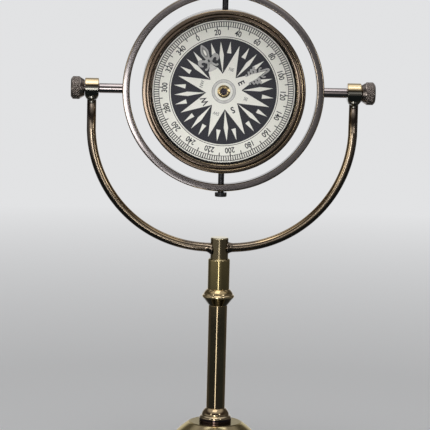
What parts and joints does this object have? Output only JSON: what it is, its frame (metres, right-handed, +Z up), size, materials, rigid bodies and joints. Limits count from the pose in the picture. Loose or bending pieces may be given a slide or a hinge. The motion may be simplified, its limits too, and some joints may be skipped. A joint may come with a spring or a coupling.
{
  "type": "desk compass",
  "caption": "Magnetic compass with a printed rose card, swinging in a ring that tilts in a U-shaped yoke on a turned brass pedestal.",
  "frame": {"origin": "on the desk under the middle of the base", "axes": "+Z up, -Y towards the viewer in front of the card, +X along the tilt axis to the viewer's right"},
  "size_m": [0.187, 0.115, 0.3048],
  "materials": {
    "base_brass": "satin antique brass, worn lighter on the edges",
    "column_brass": "dark antique brass, polished through a brown patina",
    "yoke_brass": "dark antique brass, semi-gloss",
    "eye_brass": "polished brass with dark patina underneath",
    "ring_bronze": "very dark bronze patina, semi-gloss",
    "knob_bronze": "dull dark bronze, knurled",
    "case_bronze": "dark bronze patina, bright on the edges",
    "black_steel": "blackened steel, semi-gloss",
    "bright_steel": "plain zinc-plated steel",
    "clear_glass": "clear flat glass",
    "gasket_rubber": "matte black",
    "card_paper": "matte printed card, off-white and black",
    "cap_brass": "polished brass",
    "jewel": "polished synthetic ruby",
    "magnet_steel": "dull hardened steel",
    "felt": "dark green wool felt"
  },
  "bodies": {
    "stand": {"base": "base_brass", "base_felt": "felt", "foot_collar": "column_brass", "column_tube": "column_brass", "column_knop": "column_brass", "upper_sleeve": "column_brass", "yoke_post": "column_brass", "tie_rod": "bright_steel", "base_washer": "bright_steel", "base_nut": "bright_steel", "yoke_arm_left": "yoke_brass", "yoke_arm_right": "yoke_brass", "yoke_eye_left": "eye_brass", "yoke_eye_right": "eye_brass"},
    "gimbal": {"gimbal_ring": "ring_bronze", "tilt_spindle_left": "ring_bronze", "tilt_spindle_right": "ring_bronze"},
    "left_knob": {"knob_left": "knob_bronze"},
    "right_knob": {"knob_right": "knob_bronze"},
    "compass": {"case": "case_bronze", "bezel_ring": "case_bronze", "glass": "clear_glass", "glass_gasket": "gasket_rubber", "pivot_screw_top": "black_steel", "pivot_screw_bottom": "black_steel", "pivot_post": "cap_brass", "pivot_needle": "bright_steel"},
    "card": {"card_disc": "card_paper", "card_cap": "cap_brass", "card_hub": "cap_brass", "jewel_cup": "jewel", "magnets": "magnet_steel"}
  },
  "joints": [
    {"name": "ring_tilt", "type": "hinge", "parent": "stand", "child": "gimbal", "pos_m": [0, 0, 0.24], "axis": [1, 0, 0], "continuous": true},
    {"name": "case_swing", "type": "hinge", "parent": "gimbal", "child": "compass", "pos_m": [0, 0, 0.24], "axis": [0, 0, 1], "continuous": true},
    {"name": "card_spin", "type": "hinge", "parent": "compass", "child": "card", "pos_m": [0, -0.0067, 0.24], "axis": [0, -1, 0], "continuous": true},
    {"name": "left_knob_turn", "type": "hinge", "parent": "gimbal", "child": "left_knob", "pos_m": [-0.09, 0, 0.24], "axis": [-1, 0, 0], "range_deg": [0, 360]},
    {"name": "right_knob_turn", "type": "hinge", "parent": "gimbal", "child": "right_knob", "pos_m": [0.09, 0, 0.24], "axis": [1, 0, 0], "range_deg": [0, 360]}
  ]
}
